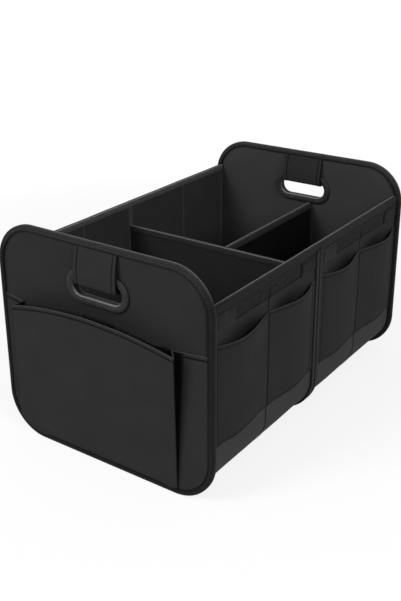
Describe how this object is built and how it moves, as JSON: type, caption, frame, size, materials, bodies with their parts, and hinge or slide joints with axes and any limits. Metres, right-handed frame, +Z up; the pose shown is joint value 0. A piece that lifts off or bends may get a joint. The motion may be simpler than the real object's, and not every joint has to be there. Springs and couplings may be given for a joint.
{
  "type": "car organizer",
  "caption": "Open-top folding car boot organizer: bound end panels with grip slots and bellows pockets, soft walls with side pockets, cloth dividers inside.",
  "frame": {"origin": "under the middle of the organizer, at the height that it stands on", "axes": "+X across it to the right seen from the front end, +Y along it to the rear end, +Z up"},
  "size_m": [0.3878, 0.6336, 0.345],
  "materials": {
    "outer_cloth": "matte woven",
    "lining_cloth": "matte woven",
    "divider_cloth": "matte woven",
    "binding_tape": "ribbed tape",
    "hook_and_loop": "napped",
    "moulded_grip": "satin",
    "stiff_board": "matte"
  },
  "bodies": {
    "root": {"band_cloth_front": "outer_cloth", "band_cloth_rear": "outer_cloth", "band_lining_front": "lining_cloth", "band_lining_rear": "lining_cloth", "cross_divider_board": "stiff_board", "cross_divider_front_cloth": "divider_cloth", "cross_divider_rear_cloth": "divider_cloth", "cross_divider_tape": "binding_tape", "end_binding_front": "binding_tape", "end_binding_rear": "binding_tape", "end_board_front": "stiff_board", "end_board_rear": "stiff_board", "end_cloth_front": "outer_cloth", "end_cloth_rear": "outer_cloth", "end_lining_front": "lining_cloth", "end_lining_rear": "lining_cloth", "end_pocket_front": "outer_cloth", "end_pocket_rear": "outer_cloth", "fastener_patch_left_front_end": "hook_and_loop", "fastener_patch_left_front_middle": "hook_and_loop", "fastener_patch_left_rear_end": "hook_and_loop", "fastener_patch_left_rear_middle": "hook_and_loop", "fastener_patch_right_front_end": "hook_and_loop", "fastener_patch_right_front_middle": "hook_and_loop", "fastener_patch_right_rear_end": "hook_and_loop", "fastener_patch_right_rear_middle": "hook_and_loop", "floor_board_front": "stiff_board", "floor_board_rear": "stiff_board", "grip_ring_inner_front": "moulded_grip", "grip_ring_inner_rear": "moulded_grip", "grip_ring_outer_front": "moulded_grip", "grip_ring_outer_rear": "moulded_grip", "grip_strap_front": "outer_cloth", "grip_strap_rear": "outer_cloth", "long_divider_board": "stiff_board", "long_divider_left_cloth": "divider_cloth", "long_divider_right_cloth": "divider_cloth", "long_divider_tape": "binding_tape", "middle_tape_front": "binding_tape", "middle_tape_rear": "binding_tape", "side_pockets_left_front": "outer_cloth", "side_pockets_left_rear": "outer_cloth", "side_pockets_right_front": "outer_cloth", "side_pockets_right_rear": "outer_cloth", "wall_board_left_front": "stiff_board", "wall_board_left_rear": "stiff_board", "wall_board_right_front": "stiff_board", "wall_board_right_rear": "stiff_board", "wall_facing_left_front": "outer_cloth", "wall_facing_left_rear": "outer_cloth", "wall_facing_right_front": "outer_cloth", "wall_facing_right_rear": "outer_cloth", "wall_top_tape_left_front": "binding_tape", "wall_top_tape_left_rear": "binding_tape", "wall_top_tape_right_front": "binding_tape", "wall_top_tape_right_rear": "binding_tape"}
  },
  "joints": []
}
